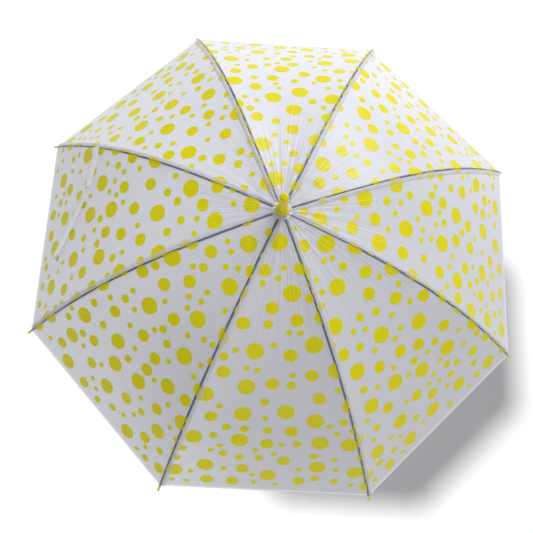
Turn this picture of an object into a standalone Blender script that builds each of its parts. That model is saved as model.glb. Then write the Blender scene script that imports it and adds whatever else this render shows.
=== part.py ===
"""Clear dome umbrella with a spotted film canopy, modelled open, in metres with +Z up.

The origin is on the shaft, at the middle of the straight grip. Eight spring-steel ribs hinge in a
slotted notch under the ferrule, eight stretchers hinge inside the ribs and reach the runner, and
each gore of film is made as two halves that fold about the ribs.
Run it with: blender --background --python part.py
"""

from math import asin, atan2, cos, degrees, pi, radians, sin

import bmesh
import bpy
from mathutils import Matrix, Vector

# ---- driving dimensions -------------------------------------------------------------------------
RIBS = 8
RIB_LENGTH = 0.580            # pivot to hem corner, measured along the rib
RIB_WIDTH = 0.0038
RIB_HEIGHT = 0.0036
RIB_WALL = 0.0006
SLOPE_TOP = radians(4)        # how far the rib points below level at the notch
SLOPE_HEM = radians(46)       # and at the hem
RIB_STEPS = 16
CHANNEL_START = 0.0065        # where the channel begins, outside the eye
EYE_PLATE = 0.0125            # how far the eye's plate runs into the channel
EYE_WALL = 0.0008             # metal round each hole
TANG_HALF = 0.0009            # half the height of the tang that carries the tip
TANG_OVERLAP = 0.008          # its length inside the channel
TANG_REACH = 0.009            # and beyond the rib's end

PIVOT_RADIUS = 0.0085         # from the shaft's axis to the ribs' and stretchers' pivots
STRETCHER_JOINT = 0.270       # how far along the rib the stretcher's rivet is
STRETCHER_WIDTH = 0.0032
STRETCHER_HEIGHT = 0.0024
TAB_THICKNESS = 0.0014        # every flattened eye
RIVET_RADIUS = 0.0005
RIVET_DROP = 0.0004           # the rivet is this far below the middle of the rib
EYE_CLEARANCE = 0.0003

SHAFT_RADIUS = 0.0040
SHAFT_WALL = 0.0006
FERRULE_RADIUS = 0.0067
FERRULE_BULB_RADIUS = 0.0112
FERRULE_TOP = 0.0700          # above the rib pivots
NOTCH_RADIUS = 0.0115
SLOT_WIDTH = 0.0022
WIRE_RADIUS = 0.00045

FILM = 0.0008                 # thickness of the canopy's plain solids
FILM_GAP = 0.0007             # between a rib's back and the film
FILM_START = 0.0070           # the film runs from here, measured along the rib
HEM_BACK = 0.0006             # to this far short of the rib's end
SEAM_GAP = 0.00025            # half the gap between neighbouring film halves
CROWN_RADIUS = 0.0138
WASHER_RADIUS = 0.0175

TIP_RADIUS = 0.0028
TIP_LENGTH = 0.0190

GRIP_RADIUS = 0.0095
GRIP_LENGTH = 0.105
CROOK_RADIUS = 0.032          # middle line of the crook's bend
CROOK_RISE = 0.022            # straight end after the bend
CAP_HEIGHT = 0.005
COLLAR_RADIUS = 0.0125
COLLAR_LENGTH = 0.032
TIP_CIRCLE = 0.024            # radius of the circle of rib tips when closed
COLLAR_BELOW_PIVOTS = 0.600

STRAP_RIB = 3                 # the strap is welded beside this rib, on its counterclockwise side
STRAP_FROM = 0.404            # where it starts along the rib
STRAP_TO = 0.521              # and how far out its free end lies
STRAP_START = 0.02            # share of the way to the next rib where it starts
STRAP_REACH = 0.69            # and at the free end
STRAP_WIDTH = 0.018
STRAP_THICKNESS = 0.0008
SNAP_RADIUS = 0.0058
SNAP_HEIGHT = 0.0022

GAP = 0.0003                  # between pieces that touch
BORE_RADIUS = SHAFT_RADIUS + 0.00035
SECTOR = 2 * pi / RIBS
PIVOT_Z = GRIP_LENGTH / 2 + COLLAR_LENGTH + COLLAR_BELOW_PIVOTS

# colour, roughness, metallic
FINISHES = {
    "steel": ((0.30, 0.33, 0.38, 1), 0.35, 1.0),
    "yellow": ((0.86, 0.84, 0.02, 1), 0.22, 0.0),
    "film": ((0.84, 0.85, 0.89, 1), 0.45, 0.0),
    "white": ((0.92, 0.92, 0.93, 1), 0.35, 0.0),
}


# ---- the rib's line -----------------------------------------------------------------------------
def slope(s):
    """Angle below level at s along the rib: level near the notch, bent most in the middle."""
    u = s / RIB_LENGTH
    return SLOPE_TOP + (SLOPE_HEM - SLOPE_TOP) * u * u * (3 - 2 * u)


def on_rib(s, lift=0.0):
    """Point at s along the rib, in its plane, with the pivot at the origin and +X outwards."""
    pieces = 60
    step = s / pieces
    x = sum(cos(slope((k + 0.5) * step)) for k in range(pieces)) * step
    z = -sum(sin(slope((k + 0.5) * step)) for k in range(pieces)) * step
    a = slope(s)
    return Vector((x + lift * sin(a), 0, z + lift * cos(a)))


def rib_stations(start, end, steps):
    return [start + (end - start) * k / steps for k in range(steps + 1)]


RIVET = on_rib(STRETCHER_JOINT, -RIVET_DROP)
STRETCHER_LENGTH = RIVET.length
RIVET_SLOPE = atan2(-RIVET.z, RIVET.x)
TIP_END = on_rib(RIB_LENGTH)
OUTWARDS = Vector((cos(SLOPE_HEM), 0, -sin(SLOPE_HEM)))   # along the rib at its end
UPWARDS = Vector((sin(SLOPE_HEM), 0, cos(SLOPE_HEM)))
CHORD_SLOPE = atan2(-TIP_END.z, TIP_END.x)
CLOSED_SLOPE = pi / 2 - asin((TIP_CIRCLE - PIVOT_RADIUS) / TIP_END.length)
RIB_SWING = CLOSED_SLOPE - CHORD_SLOPE
RUNNER_OPEN = 2 * STRETCHER_LENGTH * sin(RIVET_SLOPE)
RUNNER_CLOSED = 2 * STRETCHER_LENGTH * sin(RIVET_SLOPE + RIB_SWING)
RUNNER_Z = PIVOT_Z - RUNNER_OPEN


# ---- helpers ------------------------------------------------------------------------------------
def clear_scene():
    for thing in list(bpy.data.objects):
        bpy.data.objects.remove(thing, do_unlink=True)


def finish(name):
    found = bpy.data.materials.get(name)
    if found:
        return found
    colour, roughness, metallic = FINISHES[name]
    material = bpy.data.materials.new(name)
    material.use_nodes = True
    shader = material.node_tree.nodes["Principled BSDF"]
    shader.inputs["Base Color"].default_value = colour
    shader.inputs["Roughness"].default_value = roughness
    shader.inputs["Metallic"].default_value = metallic
    return material


def material_of(node, name):
    """Each sub-part has a material of its own, copied from the finish it is made in."""
    material = finish(name).copy()
    material.name = node
    return material


def add(name, mesh, made_in, parent=None, place=None):
    thing = bpy.data.objects.new(name, mesh)
    bpy.context.collection.objects.link(thing)
    if not mesh.materials:
        mesh.materials.append(None)
    thing.material_slots[0].link = "OBJECT"
    thing.material_slots[0].material = material_of(name, made_in)
    thing.parent = parent
    if place is not None:
        thing.matrix_local = place
    return thing


def to_mesh(bm, smooth=radians(40)):
    bmesh.ops.recalc_face_normals(bm, faces=bm.faces)
    mesh = bpy.data.meshes.new("shape")
    bm.to_mesh(mesh)
    bm.free()
    if smooth:
        mesh.shade_smooth()
        mesh.set_sharp_from_angle(angle=smooth)
    return mesh


def turned(profile, steps=32):
    """A profile of (radius, height) points spun about Z; an open profile starts and ends on it."""
    bm = bmesh.new()
    points = [bm.verts.new((r, 0, z)) for r, z in profile]
    edges = [bm.edges.new(pair) for pair in zip(points, points[1:])]
    if profile[0][0] > 0:
        edges.append(bm.edges.new((points[-1], points[0])))
    bmesh.ops.spin(
        bm, geom=points + edges, cent=(0, 0, 0), axis=(0, 0, 1), angle=2 * pi,
        steps=steps, use_merge=True, use_duplicate=False,
    )
    bmesh.ops.remove_doubles(bm, verts=bm.verts, dist=1e-6)
    bmesh.ops.dissolve_degenerate(bm, edges=bm.edges, dist=1e-7)
    return to_mesh(bm)


def lofted(rings, closed=False, smooth=radians(40)):
    """Faces between rings of points, capped at both ends unless the rings close on themselves."""
    bm = bmesh.new()
    rows = [[bm.verts.new(p) for p in ring] for ring in rings]
    count = len(rows[0])
    pairs = list(zip(rows, rows[1:]))
    if closed:
        pairs.append((rows[-1], rows[0]))
    for low, high in pairs:
        for k in range(count):
            n = (k + 1) % count
            bm.faces.new((low[k], low[n], high[n], high[k]))
    if not closed:
        bm.faces.new(rows[0])
        bm.faces.new(rows[-1])
    return to_mesh(bm, smooth)


def rod(radius, start, end, steps=12):
    """A plain cylinder between two points."""
    axis = end - start
    bm = bmesh.new()
    bmesh.ops.create_cone(
        bm, cap_ends=True, segments=steps, radius1=radius, radius2=radius, depth=axis.length,
    )
    turn = axis.to_track_quat("Z", "Y").to_matrix().to_4x4()
    bm.transform(Matrix.Translation((start + end) / 2) @ turn)
    return to_mesh(bm)


def block(size, centre=(0, 0, 0)):
    bm = bmesh.new()
    bmesh.ops.create_cube(bm, size=1)
    bm.transform(Matrix.Translation(centre) @ Matrix.Diagonal((*size, 1)))
    return to_mesh(bm, smooth=0)


def combined(mesh, *steps):
    """The mesh after each (operation, tool mesh) in turn, as one new mesh."""
    thing = bpy.data.objects.new("work", mesh)
    bpy.context.collection.objects.link(thing)
    tools = []
    for operation, tool_mesh in steps:
        tool = bpy.data.objects.new("cutter", tool_mesh)
        bpy.context.collection.objects.link(tool)
        tool.hide_render = True
        tool.display_type = "WIRE"
        change = thing.modifiers.new(operation, "BOOLEAN")
        change.operation = operation
        change.object = tool
        change.solver = "EXACT"
        tools.append(tool)
    bpy.context.view_layer.update()
    seen = thing.evaluated_get(bpy.context.evaluated_depsgraph_get())
    result = bpy.data.meshes.new_from_object(seen)
    for used in (thing, *tools):
        bpy.data.objects.remove(used, do_unlink=True)
    result.shade_smooth()
    result.set_sharp_from_angle(angle=radians(40))
    return result


def tab(outline, thickness=TAB_THICKNESS):
    """A flat plate in the rib's plane, from its outline of (x, z) points."""
    return lofted([[Vector((x, y, z)) for x, z in outline] for y in (-thickness / 2, thickness / 2)],
                  smooth=0)


def eye_arc(centre, radius, direction, steps=10):
    """The half circle round an eye, on the side away from direction (an angle), as (x, z) points."""
    angles = [direction + pi / 2 + pi * k / steps for k in range(steps + 1)]
    return [(centre.x + radius * cos(a), centre.z + radius * sin(a)) for a in angles]


def eye_outline(centre, radius, direction, length, half_height):
    """Outline of a strip with a round eye at centre that runs on along direction (an angle)."""
    along = Vector((cos(direction), 0, sin(direction)))
    across = Vector((-along.z, 0, along.x))
    far = centre + along * length
    corners = [far - across * half_height, far + across * half_height]
    return eye_arc(centre, radius, direction) + [(p.x, p.z) for p in corners]


# ---- ribs ---------------------------------------------------------------------------------------
def rib_eye_outline(radius, web):
    """Outline of the eye at the notch and its plate, which ends against the channel's web."""
    corners = [on_rib(EYE_PLATE, -radius), on_rib(EYE_PLATE, web), on_rib(CHANNEL_START + RIB_WALL, web)]
    return eye_arc(Vector(), radius, -SLOPE_TOP) + [(p.x, p.z) for p in corners]


def tang_outline(web):
    """Outline of the tang, which runs on straight from the rib's end into the tip."""
    inside = RIB_LENGTH - TANG_OVERLAP
    far = TIP_END + OUTWARDS * TANG_REACH
    corners = [
        on_rib(inside, web), on_rib(inside, -TANG_HALF), far - UPWARDS * TANG_HALF,
        far + UPWARDS * TANG_HALF, on_rib(RIB_LENGTH, TANG_HALF),
    ]
    return [(p.x, p.z) for p in corners]


def rib_mesh():
    """A steel channel open underneath, with an eye at the notch, a rivet and a tang for the tip."""
    w, h, t = RIB_WIDTH / 2, RIB_HEIGHT / 2, RIB_WALL
    section = [(-w, -h), (-w, h), (w, h), (w, -h), (w - t, -h), (w - t, h - t), (t - w, h - t), (t - w, -h)]
    rings = []
    for s in rib_stations(CHANNEL_START, RIB_LENGTH, RIB_STEPS):
        rings.append([on_rib(s, lift) + Vector((0, y, 0)) for y, lift in section])
    web = h - t / 2
    hole_radius = WIRE_RADIUS + EYE_CLEARANCE
    eye = tab(rib_eye_outline(hole_radius + EYE_WALL, web))
    tang = tab(tang_outline(web))
    side = Vector((0, w + GAP, 0))
    rivet = rod(RIVET_RADIUS, RIVET - side, RIVET + side)
    hole = rod(hole_radius, -side, side)
    return combined(
        lofted(rings), ("UNION", eye), ("UNION", rivet), ("UNION", tang), ("DIFFERENCE", hole),
    )


def tip_mesh():
    """A moulded cap with a blind bore for the tang, along +Z from the rib's end."""
    r, bore, deep, rim = TIP_RADIUS, 0.0016, 0.0108, 0.0004
    angles = [radians(30 * k) for k in range(4)]
    profile = [(r * sin(a), TIP_LENGTH - r * (1 - cos(a))) for a in angles]
    profile += [
        (r - 0.0003, deep), (r, GAP + rim), (r - rim, GAP), (bore, GAP), (bore, deep),
        (0, deep + 0.0007),
    ]
    return turned(profile, steps=12)


def stretcher_mesh():
    """A flat bar with an eye at each end; its origin is the rivet, and it runs inwards to the runner."""
    inwards = Vector((-RIVET.x, 0, -RUNNER_OPEN - RIVET.z)).normalized()
    direction = atan2(inwards.z, inwards.x)
    up = Vector((-inwards.z, 0, inwards.x)) * -1
    upper_tab, lower_tab, overlap = 0.010, 0.0075, 0.002
    eye = RIVET_RADIUS + EYE_WALL
    far = inwards * STRETCHER_LENGTH

    def bar_ring(distance, width, height):
        return [inwards * distance + up * z + Vector((0, y, 0))
                for y, z in ((-width, -height), (width, -height), (width, height), (-width, height))]

    w, h = STRETCHER_WIDTH / 2, STRETCHER_HEIGHT / 2
    long_bar = lofted(
        [bar_ring(upper_tab, w, h), bar_ring(STRETCHER_LENGTH - lower_tab, w, h)], smooth=0,
    )
    upper = tab(eye_outline(Vector(), eye, direction, upper_tab + overlap, h * 0.9))
    lower = tab(eye_outline(far, eye, direction + pi, lower_tab + overlap, h * 0.9))
    side = Vector((0, STRETCHER_WIDTH, 0))
    hole = rod(RIVET_RADIUS + EYE_CLEARANCE, -side, side)
    return combined(long_bar, ("UNION", upper), ("UNION", lower), ("DIFFERENCE", hole))


# ---- film ---------------------------------------------------------------------------------------
def film_point(s, share, side, lift):
    """Point on the film of one gore: share 0 on this rib, 0.5 halfway to the next one on side."""
    here = on_rib(s, RIB_HEIGHT / 2 + FILM_GAP) + Vector((PIVOT_RADIUS, 0, 0))
    there = Matrix.Rotation(side * SECTOR, 3, "Z") @ here
    across = (there - here).normalized()
    along = Vector((cos(slope(s)), 0, -sin(slope(s))))
    normal = across.cross(along) * -side
    point = here.lerp(there, share)
    if share == 0:
        point += across * SEAM_GAP
    if share == 0.5:
        point -= across * SEAM_GAP
    return point + normal.normalized() * lift - Vector((PIVOT_RADIUS, 0, 0))


def film_half_mesh(side):
    rings = []
    for s in rib_stations(FILM_START, RIB_LENGTH - HEM_BACK, RIB_STEPS):
        rings.append([film_point(s, share, side, lift)
                      for share, lift in ((0, 0), (0.5, 0), (0.5, FILM), (0, FILM))])
    return lofted(rings)


def strap_line(k, steps):
    """Distance along the rib and share across the gore, for step k of the strap."""
    u = k / steps
    return (STRAP_FROM + (STRAP_TO - STRAP_FROM) * u * u,
            STRAP_START + (STRAP_REACH - STRAP_START) * u)


def strap_mesh():
    steps = 8
    base = FILM + GAP
    middle = [film_point(*strap_line(k, steps), 1, base) for k in range(steps + 1)]
    rings = []
    for k, centre in enumerate(middle):
        ahead = middle[min(k + 1, steps)] - middle[max(k - 1, 0)]
        s, share = strap_line(k, steps)
        normal = (film_point(s, share, 1, base + 0.01) - centre).normalized()
        across = normal.cross(ahead).normalized() * STRAP_WIDTH / 2
        rings.append([centre + across * a + normal * STRAP_THICKNESS * b
                      for a, b in ((-1, 0), (1, 0), (1, 1), (-1, 1))])
    return lofted(rings)


def snap_at(u):
    """Place on the strap's outer face, at share u of its length, with +Z away from the film."""
    s, share = strap_line(u, steps=1)
    base = FILM + GAP + STRAP_THICKNESS + GAP
    foot = film_point(s, share, 1, base)
    normal = film_point(s, share, 1, base + 0.01) - foot
    return Matrix.Translation(foot) @ normal.to_track_quat("Z", "Y").to_matrix().to_4x4()


def snap_mesh(radius):
    h = SNAP_HEIGHT
    return turned([(0, h), (radius * 0.45, h), (radius * 0.6, h * 0.72), (radius * 0.85, h * 0.6),
                   (radius, h * 0.3), (radius, 0), (0, 0)], steps=20)


# ---- shaft, notch and runner --------------------------------------------------------------------
def slots(low, high, inner):
    """Eight radial boxes in one mesh, which cut the slots."""
    bm = bmesh.new()
    depth = 0.02
    for k in range(RIBS):
        place = Matrix.Rotation(k * SECTOR, 4, "Z")
        place @= Matrix.Translation((inner + depth / 2, 0, (low + high) / 2))
        place @= Matrix.Diagonal((depth, SLOT_WIDTH, high - low, 1))
        bmesh.ops.create_cube(bm, size=1, matrix=place)
    return to_mesh(bm, smooth=0)


def notch_mesh():
    """Slotted hub for the ribs, with a groove round it for the wire; z = 0 at the pivots."""
    top, bottom = 0.0019, -0.0045
    half = WIRE_RADIUS + 0.0003
    groove = PIVOT_RADIUS - WIRE_RADIUS - 0.0003
    profile = [
        (BORE_RADIUS, top), (NOTCH_RADIUS - 0.0008, top), (NOTCH_RADIUS, top - 0.0006),
        (NOTCH_RADIUS, half), (groove, half), (groove, -half), (NOTCH_RADIUS, -half),
        (NOTCH_RADIUS, bottom + 0.0015), (NOTCH_RADIUS - 0.002, bottom), (BORE_RADIUS, bottom),
    ]
    cutter = slots(bottom - 0.002, top + 0.002, 0.0062)
    return combined(turned(profile), ("DIFFERENCE", cutter))


def wire_mesh():
    bm = bmesh.new()
    bmesh.ops.create_circle(bm, segments=6, radius=WIRE_RADIUS)
    bm.transform(Matrix.Translation((PIVOT_RADIUS, 0, 0)) @ Matrix.Rotation(pi / 2, 4, "X"))
    bmesh.ops.spin(bm, geom=bm.verts[:] + bm.edges[:], cent=(0, 0, 0), axis=(0, 0, 1),
                   angle=2 * pi, steps=32, use_merge=True, use_duplicate=False)
    bmesh.ops.remove_doubles(bm, verts=bm.verts, dist=1e-6)
    return to_mesh(bm)


def runner_mesh():
    """Slotted ring for the stretchers over a finger sleeve; z = 0 at the stretchers' pivots."""
    sleeve = 0.0062
    ring, ring_top, ring_low = 0.0118, 0.0040, -0.0040
    foot = -0.0480
    profile = [
        (BORE_RADIUS, ring_top + 0.004), (sleeve, ring_top + 0.004), (sleeve + 0.0006, ring_top + 0.0034),
        (ring - 0.001, ring_top), (ring, ring_top - 0.001), (ring, ring_low + 0.001),
        (ring - 0.001, ring_low), (sleeve, ring_low - 0.001),
        (sleeve, foot + 0.003), (sleeve + 0.0004, foot + 0.002), (sleeve + 0.0004, foot + 0.0006),
        (sleeve, foot), (BORE_RADIUS, foot),
    ]
    cutter = slots(ring_low - 0.003, ring_top + 0.003, sleeve + GAP)
    return combined(turned(profile), ("DIFFERENCE", cutter))


def tube_mesh(low, high):
    r, inner = SHAFT_RADIUS, SHAFT_RADIUS - SHAFT_WALL
    return turned([(inner, high), (r, high), (r, low), (inner, low)], steps=24)


def ferrule_mesh():
    """Moulded spike on a rounded bulb; z = 0 at the rib pivots."""
    base, bulb, r, top = 0.0050, FERRULE_BULB_RADIUS, FERRULE_RADIUS, FERRULE_TOP
    profile = [(0, top)]
    for k in range(1, 6):
        a = pi / 2 * k / 5
        profile.append((r * sin(a), top - r * 0.9 * (1 - cos(a))))
    profile.append((r + 0.0001, 0.016))
    for k in range(7):
        a = radians(75) - radians(150) * k / 6
        profile.append((r + (bulb - r) * cos(a), 0.0100 + 0.0050 * sin(a)))
    profile += [(bulb - 0.0025, base), (BORE_RADIUS, base), (BORE_RADIUS, 0.030), (0, 0.032)]
    return turned(profile, steps=32)


# ---- handle -------------------------------------------------------------------------------------
def crook_mesh():
    """Bent plastic grip; the shaft's axis is x = 0 and the crook turns towards +X."""
    steps, around = 16, 20
    rings = []

    def ring(centre, tangent_angle):
        out = Vector((cos(tangent_angle), 0, sin(tangent_angle)))
        points = []
        for k in range(around):
            a = 2 * pi * k / around
            points.append(centre + out * GRIP_RADIUS * cos(a) + Vector((0, GRIP_RADIUS * sin(a), 0)))
        return points

    rings.append(ring(Vector((0, 0, GRIP_LENGTH / 2 - GAP)), pi))
    for k in range(steps + 1):
        a = pi + pi * k / steps
        centre = Vector((CROOK_RADIUS * (1 + cos(a)), 0, -GRIP_LENGTH / 2 + CROOK_RADIUS * sin(a)))
        rings.append(ring(centre, a))
    rings.append(ring(Vector((2 * CROOK_RADIUS, 0, -GRIP_LENGTH / 2 + CROOK_RISE)), 2 * pi))
    grip = lofted(rings)
    socket = rod(BORE_RADIUS, Vector((0, 0, 0.005)), Vector((0, 0, GRIP_LENGTH)), 24)
    return combined(grip, ("DIFFERENCE", socket))


def cap_mesh():
    """Flat-faced plug on the crook's end; z = 0 at its underside."""
    r = GRIP_RADIUS
    return turned([(0, CAP_HEIGHT), (r - 0.0015, CAP_HEIGHT), (r - 0.0004, CAP_HEIGHT - 0.0005),
                   (r, CAP_HEIGHT - 0.0016), (r, 0), (0, 0)], steps=24)


BUTTON_WIDTH = 0.0080
BUTTON_HEIGHT = 0.0130
BUTTON_INNER = 0.0080
BUTTON_OUTER = 0.0142
BUTTON_TRAVEL = 0.0018


def collar_mesh():
    """Collar over the grip's top with a pocket for the button; z = 0 at its underside."""
    r, top = COLLAR_RADIUS, COLLAR_LENGTH
    profile = [
        (BORE_RADIUS, top), (r - 0.0045, top), (r - 0.0015, top - 0.0025), (r, top - 0.006),
        (r, 0.003), (r - 0.0006, 0.0015), (r - 0.0016, 0), (BORE_RADIUS, 0),
    ]
    clear = 0.0004
    deep = BUTTON_INNER - BUTTON_TRAVEL - clear
    size = (0.02, BUTTON_WIDTH + 2 * clear, BUTTON_HEIGHT + 2 * clear)
    pocket = block(size, (-deep - 0.01, 0, COLLAR_LENGTH / 2 - 0.001))
    return combined(turned(profile, 32), ("DIFFERENCE", pocket))


def button_mesh():
    """Press button, domed on its outer face; its origin is on the shaft's axis."""
    bm = bmesh.new()
    bmesh.ops.create_cube(bm, size=1)
    depth = BUTTON_OUTER - BUTTON_INNER
    bm.transform(Matrix.Translation((-BUTTON_INNER - depth / 2, 0, 0))
                 @ Matrix.Diagonal((depth, BUTTON_WIDTH, BUTTON_HEIGHT, 1)))
    outer = [e for e in bm.edges if all(v.co.x < -BUTTON_OUTER + 1e-6 for v in e.verts)]
    sides = [e for e in bm.edges if abs(e.verts[0].co.x - e.verts[1].co.x) > 1e-4]
    bmesh.ops.bevel(bm, geom=outer + sides, offset=0.0012, segments=3, profile=0.5, affect="EDGES")
    return to_mesh(bm)


# ---- assembly -----------------------------------------------------------------------------------
def empty(name, place, parent=None):
    thing = bpy.data.objects.new(name, None)
    bpy.context.collection.objects.link(thing)
    thing.parent = parent
    thing.matrix_local = place
    return thing


def at_height(z):
    return Matrix.Translation((0, 0, z))


def build_shaft():
    add("shaft_tube", tube_mesh(0.008, PIVOT_Z + 0.028), "steel")
    add("top_notch", notch_mesh(), "white", place=at_height(PIVOT_Z))
    add("notch_wire", wire_mesh(), "steel", place=at_height(PIVOT_Z))
    low = RUNNER_Z + 0.0040 + 0.004 + GAP
    bore, r = BORE_RADIUS, SHAFT_RADIUS + 0.0016
    ring = turned([(bore, 0.004), (r - 0.0004, 0.004), (r, 0.0034), (r, 0.0006), (r - 0.0004, 0), (bore, 0)])
    add("stop_ring", ring, "steel", place=at_height(low))
    add("ferrule", ferrule_mesh(), "yellow", place=at_height(PIVOT_Z))
    under = RIB_HEIGHT / 2 + FILM_GAP - 0.0002
    crown = turned([(bore, FILM), (CROWN_RADIUS, FILM), (CROWN_RADIUS, 0), (bore, 0)])
    add("film_crown", crown, "film", place=at_height(PIVOT_Z + under))
    washer = turned([(bore, 0.0008), (WASHER_RADIUS, 0.0008), (WASHER_RADIUS, 0), (bore, 0)])
    add("film_washer", washer, "film", place=at_height(PIVOT_Z + under + FILM + 0.0005))


def build_handle():
    add("crook_handle", crook_mesh(), "yellow")
    end = Vector((2 * CROOK_RADIUS, 0, -GRIP_LENGTH / 2 + CROOK_RISE + GAP))
    add("crook_cap", cap_mesh(), "yellow", place=Matrix.Translation(end))
    add("handle_collar", collar_mesh(), "yellow", place=at_height(GRIP_LENGTH / 2))
    middle = GRIP_LENGTH / 2 + COLLAR_LENGTH / 2 - 0.001
    add("push_button", button_mesh(), "white", place=at_height(middle))


def build_canopy():
    rib, tip, bar = rib_mesh(), tip_mesh(), stretcher_mesh()
    halves = {"a": film_half_mesh(-1), "b": film_half_mesh(1)}
    tip_place = Matrix.Translation(TIP_END) @ OUTWARDS.to_track_quat("Z", "Y").to_matrix().to_4x4()
    for k in range(RIBS):
        n = k + 1
        turn = Matrix.Rotation(k * SECTOR, 4, "Z")
        pivot = empty(f"rib_pivot_{n}", at_height(PIVOT_Z) @ turn @ Matrix.Translation((PIVOT_RADIUS, 0, 0)))
        add(f"rib_{n}", rib, "steel", pivot)
        add(f"rib_tip_{n}", tip, "yellow", pivot, tip_place)
        add(f"stretcher_{n}", bar, "steel", pivot, Matrix.Translation(RIVET))
        for letter, half in halves.items():
            add(f"film_{n}{letter}", half, "film", pivot)
        if n == STRAP_RIB:
            add("strap", strap_mesh(), "film", pivot)
            add("snap_cap", snap_mesh(SNAP_RADIUS), "white", pivot, snap_at(0.95))
            add("snap_socket", snap_mesh(SNAP_RADIUS * 0.8), "white", pivot, snap_at(0.40))


def main():
    clear_scene()
    build_shaft()
    build_handle()
    add("runner", runner_mesh(), "white", place=at_height(RUNNER_Z))
    build_canopy()
    bpy.context.view_layer.update()
    print("rib pivots at z", round(PIVOT_Z, 6), "radius", PIVOT_RADIUS)
    print("rivet", tuple(round(c, 6) for c in RIVET), "stretcher length", round(STRETCHER_LENGTH, 6))
    print("chord slope", round(degrees(CHORD_SLOPE), 4), "rib swing", round(degrees(RIB_SWING), 4))
    print("runner travel", round(RUNNER_CLOSED - RUNNER_OPEN, 6), "runner z", round(RUNNER_Z, 6))


main()
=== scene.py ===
"""Frosted dome umbrella with lemon dots: the finished visual model over its CAD frame.

Run as a script it registers the add-on, builds every piece in order and leaves the scene ready to
render. All lengths are in metres in the frame's own coordinates, with +Z up the shaft.
"""

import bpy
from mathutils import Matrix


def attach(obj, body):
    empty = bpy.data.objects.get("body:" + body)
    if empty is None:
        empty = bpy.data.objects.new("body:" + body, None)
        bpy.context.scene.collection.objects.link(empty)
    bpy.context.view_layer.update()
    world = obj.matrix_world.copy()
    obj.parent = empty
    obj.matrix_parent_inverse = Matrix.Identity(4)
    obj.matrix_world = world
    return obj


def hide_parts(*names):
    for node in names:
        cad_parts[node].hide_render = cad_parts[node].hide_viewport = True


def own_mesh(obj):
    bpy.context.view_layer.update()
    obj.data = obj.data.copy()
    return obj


bl_info = {
    "name": "Dotted dome umbrella",
    "version": (1, 0, 0),
    "blender": (4, 5, 0),
    "location": "View3D > Sidebar > Umbrella",
    "description": "Builds a frosted dome umbrella with printed dots on its CAD frame",
    "category": "Object",
}

import random
from math import atan2, cos, pi, radians, sin, sqrt

import bmesh
import bpy
import numpy as np
from bpy.props import FloatProperty, FloatVectorProperty, IntProperty, PointerProperty, StringProperty
from mathutils import Euler, Matrix, Vector, noise

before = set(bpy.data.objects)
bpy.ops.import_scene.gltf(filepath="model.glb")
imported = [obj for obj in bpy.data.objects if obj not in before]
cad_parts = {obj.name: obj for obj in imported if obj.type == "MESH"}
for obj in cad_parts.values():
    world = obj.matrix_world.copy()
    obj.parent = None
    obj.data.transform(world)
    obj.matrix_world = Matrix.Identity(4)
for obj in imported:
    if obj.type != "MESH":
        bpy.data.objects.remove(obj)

# ---- the frame's own dimensions ----
RIBS = 8
SECTOR = 2 * pi / RIBS
RIB_LENGTH = 0.580
RIB_WIDTH = 0.0038
RIB_HEIGHT = 0.0036
RIB_WALL = 0.0006
SLOPE_TOP = radians(4)
SLOPE_HEM = radians(46)
CHANNEL_START = 0.0065                  # the rib's channel begins here, outside its eye
EYE_PLATE = 0.0125                      # and the eye's plate runs to here inside it
EYE_RADIUS = 0.0016
PIVOT_RADIUS = 0.0085
PIVOT_Z = 0.6845
CHORD_SLOPE = radians(25.0)             # of the straight line from a rib's hinge to its tip
RIB_SWING = radians(63.4174)            # a rib's turn from open to closed
STRETCHER_JOINT = 0.270
RIVET_DROP = 0.0004
RUNNER_Z = 0.58145
FILM_LIFT = RIB_HEIGHT / 2 + 0.0007     # from the middle of a rib to the fold line of its film
FILM_START = 0.0070
TUCK = 0.003                            # how far the finished film runs on under the gather
HEM_BACK = 0.0006
GRIP_RADIUS = 0.0095
GRIP_LENGTH = 0.105
CROOK_RADIUS = 0.032
CROOK_RISE = 0.022
TIP_RADIUS = 0.0028
TIP_LENGTH = 0.0190
STRAP_RIB = 3
STRAP_FROM, STRAP_TO = 0.404, 0.521
STRAP_START, STRAP_REACH = 0.02, 0.69
TWIST = 0.40                            # share of the strap's length at which it is twisted
SEAM_START = 0.012                      # the lapped seam starts this far along the rib
SEAM_LIFT = 0.0005                      # and lies this high on the film
SEAM_PROFILE = ((0.0, 0.0), (0.10, 0.00035), (0.55, 0.00050), (0.92, 0.00040), (1.0, 0.0001))
INK_LIFT = 0.0003
DOT_FROM, DOT_SHORT = 0.024, 0.014      # dots keep this far from the pivots and from the hem
DOT_TRIES = 14
LARGE_RADIUS = 0.009                    # dots above this radius get a finer mesh
SEAM_SIDES = "abaabbba"                 # the side of each rib on which the welded film lies over
FOLD_KEEP = 0.05                        # how flat a rib is taken to lie when closed, in the stretchers' folding axis


def slope(s):
    """Angle below level at s along a rib."""
    u = s / RIB_LENGTH
    return SLOPE_TOP + (SLOPE_HEM - SLOPE_TOP) * u * u * (3 - 2 * u)


STATIONS = np.linspace(0, RIB_LENGTH, 1161)
_middles = slope((STATIONS[1:] + STATIONS[:-1]) / 2)
_step = STATIONS[1]
RIB_X = np.concatenate(([0.0], np.cumsum(np.cos(_middles)) * _step))
RIB_Z = np.concatenate(([0.0], -np.cumsum(np.sin(_middles)) * _step))


def rib_line(s, lift=0.0):
    """Distance from the shaft's axis and height of the point at s along a rib, lift above it."""
    a = slope(s)
    x = np.interp(s, STATIONS, RIB_X) + PIVOT_RADIUS + lift * np.sin(a)
    z = np.interp(s, STATIONS, RIB_Z) + PIVOT_Z + lift * np.cos(a)
    return x, z


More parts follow.
